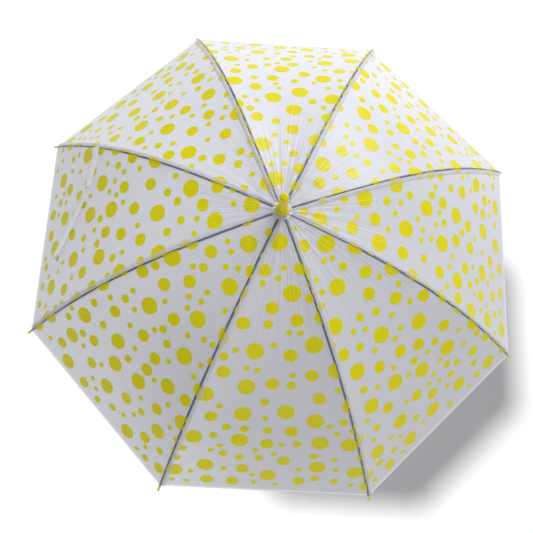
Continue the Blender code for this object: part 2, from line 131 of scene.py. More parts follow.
CHORD_NORMAL = Vector((sin(CHORD_SLOPE), 0, cos(CHORD_SLOPE)))
CHORD_FOOT = Vector((PIVOT_RADIUS + FILM_LIFT * sin(SLOPE_TOP), 0, PIVOT_Z + FILM_LIFT * cos(SLOPE_TOP)))


# ---- sizes and colours ----
class CanopySettings(bpy.types.PropertyGroup):
    """Shape, mesh density and colours of the film canopy"""

    sag: FloatProperty(
        name="Sag", description="How far the film dips between two ribs", default=0.0055, unit="LENGTH")
    undulation: FloatProperty(
        name="Undulation", description="Height of the soft waves", default=0.0009, unit="LENGTH")
    crumple: FloatProperty(
        name="Crumple", description="Height of the crumples near the top", default=0.0016, unit="LENGTH")
    hem: FloatProperty(
        name="Hem", description="Width of the welded hem", default=0.0055, unit="LENGTH")
    seam: FloatProperty(
        name="Seam", description="Width of the lapped seam beside a rib", default=0.0075, unit="LENGTH")
    weld: FloatProperty(
        name="Weld", description="Width of the clear weld beside a rib", default=0.0024, unit="LENGTH")
    across: IntProperty(
        name="Cells across", description="Mesh cells across half a gore", default=22)
    along: IntProperty(
        name="Cells along", description="Mesh cells from ferrule to hem", default=84)
    film: StringProperty(
        name="Film", description="Colour of the frosted film", default="DEDEE4")
    double: StringProperty(
        name="Doubled film", description="Colour where two layers are welded", default="FAFAFF")
    lap: StringProperty(
        name="Lapped seam", description="Colour of the film lapped beside a rib", default="ECECF1")
    cleared: StringProperty(
        name="Clear weld", description="Colour of the film melted clear over a rib", default="F4F5FA")


class DotSettings(bpy.types.PropertyGroup):
    """Sizes, spacing and ink of the printed dots"""

    large: FloatProperty(
        name="Large", description="Diameter of the largest dots", default=0.0314, unit="LENGTH")
    medium: FloatProperty(
        name="Medium", description="Diameter of the second largest dots", default=0.0237, unit="LENGTH")
    small: FloatProperty(
        name="Small", description="Diameter of the small dots", default=0.0160, unit="LENGTH")
    tiny: FloatProperty(
        name="Tiny", description="Diameter of the smallest dots", default=0.0113, unit="LENGTH")
    gap: FloatProperty(name="Gap", description="Least space between dots", default=0.0040, unit="LENGTH")
    seed: IntProperty(name="Seed", description="Starts the scatter of the dots", default=41)
    ink: StringProperty(name="Ink", description="Colour of the printed dots", default="F6EE08")


class MetalSettings(bpy.types.PropertyGroup):
    """Colours of the steel parts"""

    rib: StringProperty(name="Ribs", description="Colour of the rib steel", default="566073")
    tube: StringProperty(name="Tube", description="Colour of the plated tube", default="C9CCD2")


class PlasticSettings(bpy.types.PropertyGroup):
    """Colours of the mouldings and the width of the strap"""

    yellow: StringProperty(name="Yellow", description="Colour of the moulded parts", default="DECF00")
    white: StringProperty(name="White", description="Colour of the hub and runner", default="F2F2F4")
    washer: StringProperty(name="Washer", description="Colour of the ruffled washer", default="F8F9FC")
    strap: StringProperty(name="Strap", description="Colour of the strap's vinyl", default="FFFFFF")
    strap_width: FloatProperty(
        name="Strap width", description="Width of the closing strap", default=0.0180, unit="LENGTH")


class StageSettings(bpy.types.PropertyGroup):
    """Camera and floor"""

    camera_at: FloatVectorProperty(
        name="Camera", description="Place of the camera", default=(-0.32836, -0.09312, 1.66631),
        subtype="TRANSLATION", unit="LENGTH")
    camera_turn: FloatVectorProperty(
        name="Turn", description="Turn of the camera", subtype="EULER", unit="ROTATION",
        default=(radians(13.656), radians(-1.72), radians(-64.706)))
    lens: FloatProperty(
        name="Lens", description="Focal length in millimetres", default=40.93, unit="CAMERA")
    floor: StringProperty(name="Floor", description="Colour of the floor", default="FBFBFB")


GROUPS = {
    "umbrella_canopy": CanopySettings,
    "umbrella_dots": DotSettings,
    "umbrella_metal": MetalSettings,
    "umbrella_plastic": PlasticSettings,
    "umbrella_stage": StageSettings,
}


# ---- materials ----
def linear(code):
    """Linear RGBA of an sRGB hex colour."""
    values = [int(code[k:k + 2], 16) / 255 for k in (0, 2, 4)]
    return tuple(v / 12.92 if v <= 0.04045 else ((v + 0.055) / 1.055) ** 2.4 for v in values) + (1.0,)


def node(tree, kind, inputs=None, links=None, **settings):
    """Adds one node, sets its attributes and input values and links its inputs."""
    made = tree.nodes.new(kind)
    for key, value in settings.items():
        setattr(made, key, value)
    for key, value in (inputs or {}).items():
        made.inputs[key].default_value = value
    for key, socket in (links or {}).items():
        tree.links.new(socket, made.inputs[key])
    return made


def material(name):
    """A material with an empty tree and its output, or None if it is made already."""
    if name in bpy.data.materials:
        return bpy.data.materials[name], None, None
    made = bpy.data.materials.new(name)
    made.use_nodes = True
    tree = made.node_tree
    tree.nodes.clear()
    return made, tree, node(tree, "ShaderNodeOutputMaterial")


def maths(tree, operation, *values):
    """The output of a Math node on sockets or numbers."""
    made = node(tree, "ShaderNodeMath", operation=operation)
    for k, value in enumerate(values):
        if isinstance(value, (int, float)):
            made.inputs[k].default_value = value
        else:
            tree.links.new(value, made.inputs[k])
    return made.outputs[0]


def film_creases(tree):
    """Height of the film's fine creases, in metres, from its gore coordinates.

    The first coordinate counts gores round the canopy and the second runs from ferrule to hem.
    """
    coords = node(tree, "ShaderNodeUVMap", uv_map="gore").outputs[0]
    parts = node(tree, "ShaderNodeSeparateXYZ", links={0: coords})
    down = parts.outputs[1]
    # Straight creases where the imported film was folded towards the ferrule: they run radially,
    # up to nine or so to a gore, and fade out before two thirds of the way to the hem.
    stretched = node(tree, "ShaderNodeMapping", inputs={"Scale": (9, 0.12, 1)}, links={0: coords})
    radial = node(tree, "ShaderNodeTexNoise", noise_dimensions="2D",
                  inputs={"Scale": 1.0, "Detail": 0.6, "Roughness": 0.4}, links={0: stretched.outputs[0]})
    ridge = maths(tree, "ABSOLUTE", maths(tree, "SUBTRACT", radial.outputs[0], 0.5))
    sharp = maths(tree, "MAXIMUM", maths(tree, "SUBTRACT", 0.075, ridge), 0.0)
    fade = maths(tree, "MAXIMUM", maths(tree, "SUBTRACT", 0.60, down), 0.0)
    folds = maths(tree, "MULTIPLY", maths(tree, "MULTIPLY", sharp, fade), 0.011)
    # Soft slanting wrinkles of handled film, a few centimetres long.
    slanted = node(tree, "ShaderNodeMapping",
                   inputs={"Scale": (3.0, 16, 1), "Rotation": (0, 0, radians(32))}, links={0: coords})
    wrinkle = node(tree, "ShaderNodeTexNoise", noise_dimensions="2D",
                   inputs={"Scale": 1.6, "Detail": 3.0, "Roughness": 0.55}, links={0: slanted.outputs[0]})
    soft = maths(tree, "MULTIPLY", maths(tree, "POWER", wrinkle.outputs[0], 2.0), 0.0003)
    return maths(tree, "ADD", folds, soft)


def frosted_film(colour, name, clear, glow_share):
    """Blown EVA film with an embossed frost: the frost spreads what lies behind it, so only what
    touches the film shows, and the smooth outer skin keeps a soft sheen."""
    made, tree, out = material(name)
    if tree is None:
        return made
    bump = node(tree, "ShaderNodeBump", inputs={"Strength": 1.0, "Distance": 1.0},
                links={"Height": film_creases(tree)})
    sheet = node(tree, "ShaderNodeBsdfPrincipled",
                 inputs={"Base Color": linear(colour), "Roughness": 0.70, "IOR": 1.48,
                         "Transmission Weight": clear, "Coat Weight": 0.30, "Coat Roughness": 0.28},
                 links={"Normal": bump.outputs[0], "Coat Normal": bump.outputs[0]})
    glow = node(tree, "ShaderNodeBsdfTranslucent", inputs={"Color": linear(colour)},
                links={"Normal": bump.outputs[0]})
    mixed = node(tree, "ShaderNodeMixShader", inputs={0: glow_share},
                 links={1: sheet.outputs[0], 2: glow.outputs[0]})
    tree.links.new(mixed.outputs[0], out.inputs[0])
    return made


def printed_ink(colour):
    """Screen-printed vinyl ink: saturated and nearly opaque, thin enough that creases and ribs
    below still show, with the film's own sheen."""
    made, tree, out = material("Lemon screen-printed vinyl ink")
    if tree is None:
        return made
    bump = node(tree, "ShaderNodeBump", inputs={"Strength": 1.0, "Distance": 1.0},
                links={"Height": film_creases(tree)})
    ink = node(tree, "ShaderNodeBsdfPrincipled",
               inputs={"Base Color": linear(colour), "Roughness": 0.38, "IOR": 1.5},
               links={"Normal": bump.outputs[0]})
    glow = node(tree, "ShaderNodeBsdfTranslucent", inputs={"Color": linear(colour)})
    body = node(tree, "ShaderNodeMixShader", inputs={0: 0.25},
                links={1: ink.outputs[0], 2: glow.outputs[0]})
    through = node(tree, "ShaderNodeBsdfTransparent", inputs={"Color": linear(colour)})
    mixed = node(tree, "ShaderNodeMixShader", inputs={0: 0.20},
                 links={1: body.outputs[0], 2: through.outputs[0]})
    tree.links.new(mixed.outputs[0], out.inputs[0])
    return made


def grained(name, colour, roughness, metallic=0.0, grain=600.0, soft=0.0):
    """A solid material whose roughness and surface vary a little with a noise of real size.

    The grain is in cells per metre. A soft material is a plastic that light enters a little way.
    """
    made, tree, out = material(name)
    if tree is None:
        return made
    spread = 0.06
    where = node(tree, "ShaderNodeTexCoord").outputs["Object"]
    speck = node(tree, "ShaderNodeTexNoise", inputs={"Scale": grain, "Detail": 4.0}, links={0: where})
    cloud = node(tree, "ShaderNodeTexNoise", inputs={"Scale": 45.0, "Detail": 2.0}, links={0: where})
    rough = maths(tree, "ADD", maths(tree, "MULTIPLY", cloud.outputs[0], 2 * spread), roughness - spread)
    bump = node(tree, "ShaderNodeBump", inputs={"Strength": 0.5, "Distance": 0.00002},
                links={"Height": speck.outputs[0]})
    solid = node(tree, "ShaderNodeBsdfPrincipled",
                 inputs={"Base Color": linear(colour), "Metallic": metallic},
                 links={"Roughness": rough, "Normal": bump.outputs[0]})
    if not metallic:
        solid.inputs["IOR"].default_value = 1.49
    if soft:
        solid.inputs["Subsurface Weight"].default_value = soft
        solid.inputs["Specular IOR Level"].default_value = 0.25
        solid.inputs["Subsurface Radius"].default_value = (1.0, 0.9, 0.3)
        solid.inputs["Subsurface Scale"].default_value = 0.0015
    tree.links.new(solid.outputs[0], out.inputs[0])
    return made


def film_material(context):
    # One layer, frosted by the embossing roll: milky, and paler where light comes through it.
    return frosted_film(context.scene.umbrella_canopy.film, "Frosted EVA film", 0.26, 0.08)


def double_material(context):
    # Two layers welded at the hem and gathered under the ferrule: whiter and more opaque.
    return frosted_film(context.scene.umbrella_canopy.double, "Welded double EVA film", 0.30, 0.20)


def strap_material(colour):
    """Soft clear vinyl ribbon, milky from handling, glossier than the film it lies on."""
    made, tree, out = material("Milky soft vinyl strap")
    if tree is None:
        return made
    ribbon = node(tree, "ShaderNodeBsdfPrincipled",
                  inputs={"Base Color": linear(colour), "Roughness": 0.30, "IOR": 1.52,
                          "Coat Weight": 0.7, "Coat Roughness": 0.10})
    glow = node(tree, "ShaderNodeBsdfTranslucent", inputs={"Color": linear(colour)})
    mixed = node(tree, "ShaderNodeMixShader", inputs={0: 0.08},
                 links={1: ribbon.outputs[0], 2: glow.outputs[0]})
    tree.links.new(mixed.outputs[0], out.inputs[0])
    return made


def weld_material(colour):
    """Heat-flattened EVA film along the seam: the weld melts the frost away, so the rib below it
    shows as a crisp dark line."""
    made, tree, out = material("Heat-flattened clear EVA weld")
    if tree is None:
        return made
    clear = node(tree, "ShaderNodeBsdfPrincipled",
                 inputs={"Base Color": linear(colour), "Roughness": 0.26, "IOR": 1.48,
                         "Transmission Weight": 0.90})
    tree.links.new(clear.outputs[0], out.inputs[0])
    return made


def yellow_material(context):
    # Injection-moulded polypropylene: a clean gloss with the faint orange peel of the mould.
    return grained("Gloss lemon polypropylene moulding", context.scene.umbrella_plastic.yellow,
                   0.16, soft=0.03, grain=350.0)


def white_material(context):
    # Moulded nylon: satin, slightly waxy.
    return grained("White moulded nylon", context.scene.umbrella_plastic.white, 0.34, soft=0.10)


def rib_material(context):
    # Cold-rolled spring steel under a thin blue-grey lacquer: dark, with a soft sheen.
    return grained("Blue-grey lacquered spring steel", context.scene.umbrella_metal.rib, 0.48,
                   metallic=0.15, grain=900.0)


def tube_material(context):
    # Nickel-plated drawn tube: bright, with a little haze.
    return grained("Nickel-plated steel tube", context.scene.umbrella_metal.tube, 0.20, metallic=1.0)


# ---- pieces ----
def piece(name, points, faces, *materials, smooth=True):
    """A new mesh object in the scene from points in the frame's coordinates."""
    mesh = bpy.data.meshes.new(name)
    mesh.from_pydata([tuple(p) for p in points], [], faces)
    for made in materials:
        mesh.materials.append(made)
    if smooth:
        mesh.shade_smooth()
    mesh.validate()
    thing = bpy.data.objects.new(name, mesh)
    bpy.context.scene.collection.objects.link(thing)
    return thing


def shared(name, points, faces, finish, smooth_angle=40):
    """A closed piece with consistent outward normals and sharp edges kept."""
    thing = piece(name, points, faces, finish)
    bm = bmesh.new()
    bm.from_mesh(thing.data)
    bmesh.ops.remove_doubles(bm, verts=bm.verts, dist=1e-7)
    bmesh.ops.recalc_face_normals(bm, faces=bm.faces)
    bm.to_mesh(thing.data)
    bm.free()
    thing.data.shade_smooth()
    thing.data.set_sharp_from_angle(angle=radians(smooth_angle))
    return thing


def tube_faces(rows, count, closed_ends=True, looped=True):
    """Quads between rows of count points each, with end caps."""
    faces = []
    last = count if looped else count - 1
    for r in range(rows - 1):
        for k in range(last):
            n = (k + 1) % count
            faces.append((r * count + k, r * count + n, (r + 1) * count + n, (r + 1) * count + k))
    if closed_ends:
        faces.append(tuple(range(count)))
        faces.append(tuple(range((rows - 1) * count, rows * count)))
    return faces


def turned(name, profile, finish, steps=64, smooth_angle=35):
    """(radius, height) points spun about the shaft's axis, starting and ending on it."""
    points = []
    for r, z in profile:
        for k in range(steps):
            a = 2 * pi * k / steps
            points.append((r * cos(a), r * sin(a), z))
    faces = tube_faces(len(profile), steps, closed_ends=False)
    return shared(name, points, faces, finish, smooth_angle)


def arc(centre_r, centre_z, radius, start, end, steps):
    """Points of a circular arc in a (radius, height) profile, angles in degrees from outwards."""
    angles = [radians(start + (end - start) * k / steps) for k in range(steps + 1)]
    return [(max(0.0, centre_r + radius * cos(a)), centre_z + radius * sin(a)) for a in angles]


def carried(name, finish, bevel=0.0):
    """Gives a CAD node its finished material and, where its edges show, a small edge radius."""
    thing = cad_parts[name]
    thing.data.materials.clear()
    thing.data.materials.append(finish)
    if bevel:
        edge = thing.modifiers.new("edge radius", "BEVEL")
        edge.width = bevel
        edge.segments = 2
        edge.limit_method = "ANGLE"
        edge.angle_limit = radians(40)


# ---- the film's surface ----
def wave(gore, s, t, settings):
    """How far the film stands off its straight line between two ribs, outwards."""
    u = s / RIB_LENGTH
    between = 4 * t * (1 - t)
    dip = settings.sag * between * sin(pi * u ** 0.85)
    place = Vector((gore * 3.1 + t * u * 4.2, u * 5.0, 0.0))
    free = between * (1 - u ** 9)
    soft = settings.undulation * noise.noise(place) * free
    fold = Vector((gore * 7.7 + t * 9.0, u * 1.3, 4.0))
    pleat = settings.crumple * 0.8 * noise.noise(fold) * between * np.exp(-s / 0.16)
    knot = Vector((gore * 5.3 + t * 3.0, s * 55.0, 9.0))
    ring = np.exp(-((s - 0.045) / 0.045) ** 2)
    crush = settings.crumple * noise.noise(knot) * ring * min(1.0, between * 2)
    # Creases fan out from the hem's corners, strongest 5 cm away from the tip.
    corner, spread = 0.0, 0.05
    for side, offset in ((0.0, 1.0), (1.0, 2.0)):
        away = abs(t - side) * 0.40
        back = RIB_LENGTH - s
        reach = sqrt(away * away + back * back) + 1e-6
        fan = noise.noise(Vector((atan2(away, back) * 5.0, gore * 2.0 + offset, 0.0)))
        corner += 0.0020 * fan * (reach / spread) * np.exp(-reach / spread) * min(1.0, away / 0.01)
    return -dip + soft + pleat + crush + corner


def film_at(gore, s, t, lift, settings):
    """The film's point s along gore (counted from 0), t of the way from its first rib to its second."""
    x, z = rib_line(s, FILM_LIFT)
    start = gore * SECTOR
    middle = start + SECTOR / 2
    px = x * ((1 - t) * cos(start) + t * cos(start + SECTOR))
    py = x * ((1 - t) * sin(start) + t * sin(start + SECTOR))
    a = slope(s)
    size = sqrt(sin(a) ** 2 + (cos(a) * cos(SECTOR / 2)) ** 2)
    out, up = sin(a) / size, cos(a) * cos(SECTOR / 2) / size
    off = lift + wave(gore, s, t, settings)
    return (px + off * out * cos(middle), py + off * out * sin(middle), z + off * up)


def above_film(gore, s, t, settings):
    """The step from the film to 20 mm above it."""
    return Vector(film_at(gore, s, t, 0.02, settings)) - Vector(film_at(gore, s, t, 0.0, settings))


def half_of(gore, letter):
    """The rib that a half gore folds about: b halves are a gore's first half, a halves its second."""
    return gore % RIBS + 1 if letter == "b" else (gore + 1) % RIBS + 1


def flatten(thing):
    """Gives the piece its own copy of its mesh."""
    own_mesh(thing)


def follow_fold(thing, rib, letter):
    """The piece folds with its half of a gore and gets its own copy of its mesh."""
    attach(thing, f"fold_{rib}{letter}")
    flatten(thing)


def finish_film(thing, coordinates):
    """Turns the faces outwards and stores gore and length coordinates for the film's creases."""
    upward = sum(face.normal.z * face.area for face in thing.data.polygons)
    if upward < 0:
        thing.data.flip_normals()
    layer = thing.data.uv_layers.new(name="gore")
    for loop in thing.data.loops:
        layer.data[loop.index].uv = coordinates[loop.vertex_index]


def half_width(s):
    """Half the width of a gore at s."""
    return rib_line(s, FILM_LIFT)[0] * sin(SECTOR / 2)


class UMBRELLA_OT_canopy(bpy.types.Operator):
    """Makes the sixteen halves of the film canopy and the welded seams beside the ribs"""

    bl_idname = "umbrella.canopy"
    bl_label = "Canopy film"

    def execute(self, context):
        settings = context.scene.umbrella_canopy
        film, double = film_material(context), double_material(context)
        weld = weld_material(settings.cleared)
        allowance = frosted_film(settings.lap, "Lapped EVA seam", 0.45, 0.25)
        stations = [FILM_START - TUCK + (RIB_LENGTH - HEM_BACK - settings.hem - FILM_START + TUCK)
                    * k / settings.along for k in range(settings.along + 1)]
        stations.append(RIB_LENGTH - HEM_BACK)
        for gore in range(RIBS):
            for letter, first in (("b", 0.0), ("a", 0.5)):
                points, coordinates = [], []
                for s in stations:
                    for t in self.shares(s, first, settings):
                        points.append(film_at(gore, s, t, 0.0, settings))
                        coordinates.append((gore + t, s / RIB_LENGTH))
                count = settings.across + 2
                faces = tube_faces(len(stations), count, closed_ends=False, looped=False)
                rib = half_of(gore, letter)
                half = piece(f"canopy_{rib}{letter}", points, faces, film, double, weld)
                beside_rib = 0 if letter == "b" else count - 2
                for face in half.data.polygons:
                    if face.index % (count - 1) == beside_rib:
                        face.material_index = 2
                    elif face.index >= (len(stations) - 2) * (count - 1):
                        face.material_index = 1
                finish_film(half, coordinates)
                follow_fold(half, rib, letter)
                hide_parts(f"film_{rib}{letter}")
        for rib in range(1, RIBS + 1):
            self.seam(rib, SEAM_SIDES[rib - 1], settings, allowance)
        return {"FINISHED"}

    def shares(self, s, first, settings):
        """Shares across the gore at s: a narrow weld beside the rib, then even cells."""
        weld = min(settings.weld / (2 * half_width(s)), 0.2)
        even = [weld + (0.5 - weld) * k / settings.across for k in range(settings.across + 1)]
        from_rib = [0.0] + even
        return from_rib if first == 0.0 else [1 - t for t in reversed(from_rib)]

    def seam(self, rib, letter, settings, film):
        """The strip where one gore's film is laid over the next and welded, on one side of the rib."""
        gore = (rib - 2) % RIBS if letter == "a" else rib - 1
        steps = settings.along
        points, coordinates = [], []
        for k in range(steps + 1):
            s = SEAM_START + (RIB_LENGTH - HEM_BACK - SEAM_START) * k / steps
            width = min(settings.seam, half_width(s) * 0.4)
            wobble = 1 + 0.10 * noise.noise(Vector((rib * 3.0, s * 18.0, 0.0)))
            for across, lift in SEAM_PROFILE:
                t = (settings.weld * 1.25 + across * width * wobble) / (2 * half_width(s))
                t = 1 - t if letter == "a" else t
                points.append(film_at(gore, s, t, lift + SEAM_LIFT, settings))
                coordinates.append((gore + t, s / RIB_LENGTH))
        faces = tube_faces(steps + 1, len(SEAM_PROFILE), closed_ends=False, looped=False)
        strip = piece(f"seam_{rib}", points, faces, film)
        finish_film(strip, coordinates)
        follow_fold(strip, rib, letter)


class UMBRELLA_OT_dots(bpy.types.Operator):
    """Prints the dots on the film, cut at the seams"""

    bl_idname = "umbrella.dots"
    bl_label = "Printed dots"

    def execute(self, context):
        canopy, dots = context.scene.umbrella_canopy, context.scene.umbrella_dots
        ink = printed_ink(dots.ink)
        draw = random.Random(dots.seed)
        wanted = ((dots.large, 21), (dots.medium, 21), (dots.small, 20), (dots.tiny, 40))
        for gore in range(RIBS):
            placed = []
            for diameter, count in wanted:
                self.scatter(draw, placed, diameter, count, dots.gap)
            for letter, side in (("b", -1), ("a", 1)):
                self.print_half(gore, letter, side, placed, ink, canopy)
        return {"FINISHED"}

    def scatter(self, draw, placed, diameter, count, gap):
        """Adds dots of one size, each at the roomiest of a few random places; some reach over seams."""
        for _ in range(count):
            best, room = None, gap
            for _ in range(DOT_TRIES):
                s = DOT_FROM + (RIB_LENGTH - DOT_SHORT - diameter / 2 - DOT_FROM) * draw.random() ** 0.55
                x = draw.uniform(-1, 1) * (half_width(s) + diameter * 0.25)
                radius = diameter / 2 * draw.uniform(0.97, 1.03)
                spaces = (sqrt((s - q) ** 2 + (x - p) ** 2) - radius - r for p, q, r in placed)
                free = min(spaces, default=1.0)
                if free > room:
                    best, room = (x, s, radius), free
            if best:
                placed.append(best)

    def print_half(self, gore, letter, side, placed, ink, canopy):
        """One mesh with the dots that lie on one half of a gore."""
        bm = bmesh.new()
        for x, s, radius in placed:
            rings, around = (3, 28) if radius > LARGE_RADIUS else (2, 20)
            disc = bmesh.new()
            centre = disc.verts.new((x, s, 0))
            before = None
            for ring in range(1, rings + 1):
                r = radius * ring / rings
                turns = [2 * pi * k / around for k in range(around)]
                row = [disc.verts.new((x + r * cos(a), s + r * sin(a), 0)) for a in turns]
                for k in range(around):
                    n = (k + 1) % around
                    if before is None:
                        disc.faces.new((centre, row[k], row[n]))
                    else:
                        disc.faces.new((before[k], row[k], row[n], before[n]))
                before = row
            step, inset = 0.002, 0.0004
            edge = half_width(s) - inset
            lean = (half_width(s + step) - half_width(s)) / step
            cuts = (((0, 0, 0), (-side, 0, 0)),
                    ((side * edge, s, 0), (side, -lean, 0)))
            for place, outwards in cuts:
                bmesh.ops.bisect_plane(disc, geom=disc.verts[:] + disc.edges[:] + disc.faces[:], dist=1e-6,
                                       plane_co=place, plane_no=outwards, clear_outer=True)
            kept = {v: bm.verts.new(v.co) for v in disc.verts}
            for face in disc.faces:
                bm.faces.new([kept[v] for v in face.verts])
            disc.free()
        points, coordinates = [], []
        bm.verts.index_update()
        for v in bm.verts:
            t = min(1.0, max(0.0, 0.5 + v.co.x / (2 * half_width(v.co.y))))
            points.append(film_at(gore, v.co.y, t, INK_LIFT, canopy))
            coordinates.append((gore + t, v.co.y / RIB_LENGTH))
        faces = [tuple(v.index for v in face.verts) for face in bm.faces]
        bm.free()
        rib = half_of(gore, letter)
        printed = piece(f"dots_{rib}{letter}", points, faces, ink)
        finish_film(printed, coordinates)
        follow_fold(printed, rib, letter)


class UMBRELLA_OT_ribs(bpy.types.Operator):
    """Makes the eight channel ribs with their eyes and rivets"""

    bl_idname = "umbrella.ribs"
    bl_label = "Ribs"

    def execute(self, context):
        steel = rib_material(context)
        w, h, t = RIB_WIDTH / 2, RIB_HEIGHT / 2, RIB_WALL
        bend = 0.0005
        section = [(-w, -h), (-w, h - bend), (-w + bend * 0.3, h - bend * 0.3), (-w + bend, h),
                   (w - bend, h), (w - bend * 0.3, h - bend * 0.3), (w, h - bend), (w, -h),
                   (w - t, -h), (w - t, h - t), (t - w, h - t), (t - w, -h)]
        for rib in range(1, RIBS + 1):
            turn = Matrix.Rotation((rib - 1) * SECTOR, 3, "Z")
            points = []
            steps = 60
            for k in range(steps + 1):
                s = CHANNEL_START + (RIB_LENGTH - CHANNEL_START) * k / steps
                for y, lift in section:
                    x, z = rib_line(s, lift)
                    points.append(turn @ Vector((x, y, z)))
            faces = tube_faces(steps + 1, len(section))
            self.plate(points, faces, turn)
            self.rivet(points, faces, turn)
            made = shared(f"steel_rib_{rib}", points, faces, steel)
            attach(made, f"rib_{rib}")
            flatten(made)
            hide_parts(f"rib_{rib}")
        return {"FINISHED"}

    def plate(self, points, faces, turn):
        """The flattened eye at the notch."""
        half, reach, steps = 0.0007, 0.0014, 12
        outline = []
        for k in range(steps + 1):
            a = pi / 2 + pi * k / steps
            outline.append((PIVOT_RADIUS + EYE_RADIUS * cos(a), PIVOT_Z + EYE_RADIUS * sin(a)))
        for lift in (-reach, reach):
            outline.append(tuple(float(v) for v in rib_line(EYE_PLATE, lift)))
        first = len(points)
        for y in (-half, half):
            points += [turn @ Vector((x, y, z)) for x, z in outline]
        faces += [tuple(first + i for i in f) for f in tube_faces(2, len(outline))]

    def rivet(self, points, faces, turn):
        """A domed rivet through the channel at the stretcher's joint."""
        x, z = rib_line(STRETCHER_JOINT, -RIVET_DROP)
        first, around = len(points), 16
        reach = RIB_WIDTH / 2 + 0.0004
        rows = ((-reach - 0.0003, 0.0004), (-reach, 0.0009), (-reach + 0.0004, 0.0010),
                (reach - 0.0004, 0.0010), (reach, 0.0009), (reach + 0.0003, 0.0004))
        for y, r in rows:
            for k in range(around):
                a = 2 * pi * k / around
                points.append(turn @ Vector((x + r * cos(a), y, z + r * sin(a))))
        faces += [tuple(first + i for i in f) for f in tube_faces(len(rows), around)]


class UMBRELLA_OT_stretchers(bpy.types.Operator):
    """Makes the eight stretchers between ribs and runner"""

    bl_idname = "umbrella.stretchers"
    bl_label = "Stretchers"
    SIDES = 12

    def execute(self, context):
        steel = rib_material(context)
        x, z = rib_line(STRETCHER_JOINT, -RIVET_DROP)
        upper = Vector((float(x), 0, float(z)))
        lower = Vector((PIVOT_RADIUS, 0, RUNNER_Z))
        for rib in range(1, RIBS + 1):
            turn = Matrix.Rotation((rib - 1) * SECTOR, 3, "Z")
            points, rows = self.bar(upper, lower)
            placed = [turn @ p for p in points]
            made = shared(f"stretcher_bar_{rib}", placed, tube_faces(rows, self.SIDES), steel)
            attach(made, f"stretcher_{rib}")
            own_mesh(made)
            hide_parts(f"stretcher_{rib}")
        return {"FINISHED"}

    def bar(self, upper, lower):
        """A rounded bar, flattened to an eye at each end."""
        along = (lower - upper).normalized()
        up = Vector((along.z, 0, -along.x))
        length = (lower - upper).length
        rows = ((-0.0013, 0.0003, 0.0003), (-0.0009, 0.0007, 0.0010), (0.0, 0.0007, 0.0013),
                (0.0080, 0.0007, 0.0013), (0.0110, 0.0016, 0.0012),
                (length - 0.0085, 0.0016, 0.0012), (length - 0.0060, 0.0007, 0.0012),
                (length, 0.0007, 0.0013), (length + 0.0009, 0.0007, 0.0010),
                (length + 0.0013, 0.0003, 0.0003))
        points = []
        for distance, wide, high in rows:
            for k in range(self.SIDES):
                a = 2 * pi * (k + 0.5) / self.SIDES
                y = wide * max(-1, min(1, 1.25 * cos(a)))
                h = high * max(-1, min(1, 1.25 * sin(a)))
                points.append(upper + along * distance + up * h + Vector((0, y, 0)))
        return points, len(rows)

    def folding_axis(self, upper, lower):
        """The direction in which a stretcher flattens so that it still ends on its straightened rib."""
        foot = CHORD_FOOT
        flat = upper - CHORD_NORMAL * (1 - FOLD_KEEP) * (upper - foot).dot(CHORD_NORMAL)
        pivot = Vector((PIVOT_RADIUS, 0, PIVOT_Z))
        swing = Matrix.Rotation(RIB_SWING, 3, "Y")
        rivet_closed = pivot + swing @ (upper - pivot)
        target = pivot + swing @ (flat - pivot)
        goal = upper + swing @ (target - rivet_closed)
        direction = (goal - lower).normalized()
        return Vector((-direction.z, 0, direction.x))


class UMBRELLA_OT_tips(bpy.types.Operator):
    """Makes the eight moulded tips at the hem's corners"""

    bl_idname = "umbrella.tips"
    bl_label = "Rib tips"

    def execute(self, context):
        yellow = yellow_material(context)
        x, z = rib_line(RIB_LENGTH)
        end = Vector((float(x), 0, float(z)))
        outwards = Vector((cos(SLOPE_HEM), 0, -sin(SLOPE_HEM)))
        r = TIP_RADIUS
        profile = [(0.0016, 0.0003), (r - 0.0006, 0.0003), (r - 0.0001, 0.0007), (r - 0.0002, 0.0050),
                   (r - 0.0003, 0.0115), (r - 0.0002, TIP_LENGTH - r)]
        profile += arc(0, TIP_LENGTH - r, r - 0.0002, 15, 90, 6)
        profile.append((0, TIP_LENGTH - 0.0002))
        profile = [(0, 0.0110), (0.0016, 0.0105)] + profile
        place = Matrix.Translation(end) @ outwards.to_track_quat("Z", "Y").to_matrix().to_4x4()
        for rib in range(1, RIBS + 1):
            tip = turned(f"tip_cap_{rib}", profile, yellow, 24)
            tip.data.transform(Matrix.Rotation((rib - 1) * SECTOR, 4, "Z") @ place)
            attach(tip, f"rib_{rib}")
            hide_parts(f"rib_tip_{rib}")
        return {"FINISHED"}


